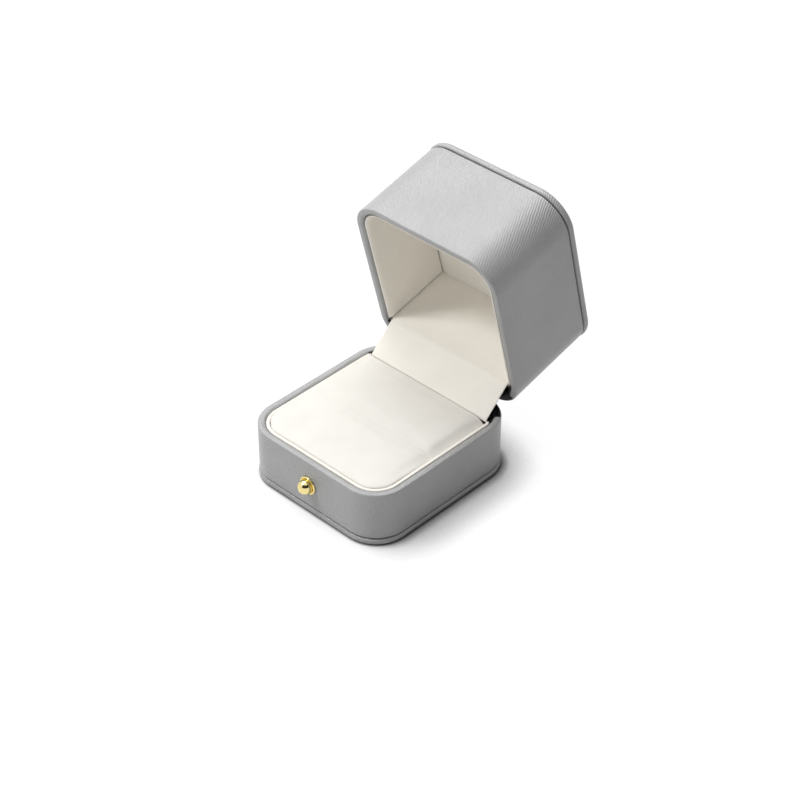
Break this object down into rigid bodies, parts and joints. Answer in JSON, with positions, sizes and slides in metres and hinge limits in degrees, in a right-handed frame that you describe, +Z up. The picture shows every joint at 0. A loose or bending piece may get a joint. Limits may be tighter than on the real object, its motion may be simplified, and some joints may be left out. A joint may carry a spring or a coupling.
{
  "type": "hinged ring box",
  "caption": "Hinged ring box with rounded corners, leatherette outside and suede inside: a slit ring cushion in the base, a deep lid with a lining flap, a sprung hinge and a ball stud.",
  "frame": {"origin": "middle of the flat underside of the base", "axes": "+Z up, -Y towards the front with the stud, +Y towards the hinge, +X to the right seen from the front"},
  "size_m": [0.056, 0.099, 0.0843],
  "materials": {
    "leatherette": "fine cross grain, satin, grey",
    "suede": "short nap, matt, ivory",
    "cushion_suede": "short nap over wadding, matt, ivory",
    "greyboard": "plain, matt",
    "moulding": "moulded, matt, hidden under its skin",
    "black_steel": "black, satin",
    "bright_steel": "plain, bright",
    "gold": "polished, gold coloured",
    "foam": "open foam, soft"
  },
  "bodies": {
    "base": {"base_shell": "moulding", "base_skin": "leatherette", "base_plate_board": "greyboard", "base_plate_skin": "leatherette", "base_collar_card": "greyboard", "base_collar_suede": "suede", "cushion_board": "greyboard", "cushion_front_foam": "foam", "cushion_front_cover": "cushion_suede", "cushion_rear_foam": "foam", "cushion_rear_cover": "cushion_suede", "stud": "gold", "stud_rosette": "gold", "stud_washer": "bright_steel", "hinge_base_leaf": "black_steel", "hinge_pin": "bright_steel", "hinge_base_rivets": "bright_steel", "hinge_snap_spring": "bright_steel"},
    "lid": {"lid_shell": "moulding", "lid_skin": "leatherette", "lid_plate_board": "greyboard", "lid_plate_skin": "leatherette", "lid_wall_card": "greyboard", "lid_wall_suede": "suede", "lid_back_card": "greyboard", "lid_back_suede": "suede", "lid_flap_card": "greyboard", "lid_deep_card": "greyboard", "lid_deep_suede": "suede", "lid_spacer_foam": "foam", "hinge_lid_leaf": "black_steel", "hinge_lid_rivets": "bright_steel"}
  },
  "joints": [
    {"name": "lid_hinge", "type": "hinge", "parent": "base", "child": "lid", "pos_m": [0, 0.03, 0.0174], "axis": [1, 0, 0], "range_deg": [0, 75.5]}
  ]
}
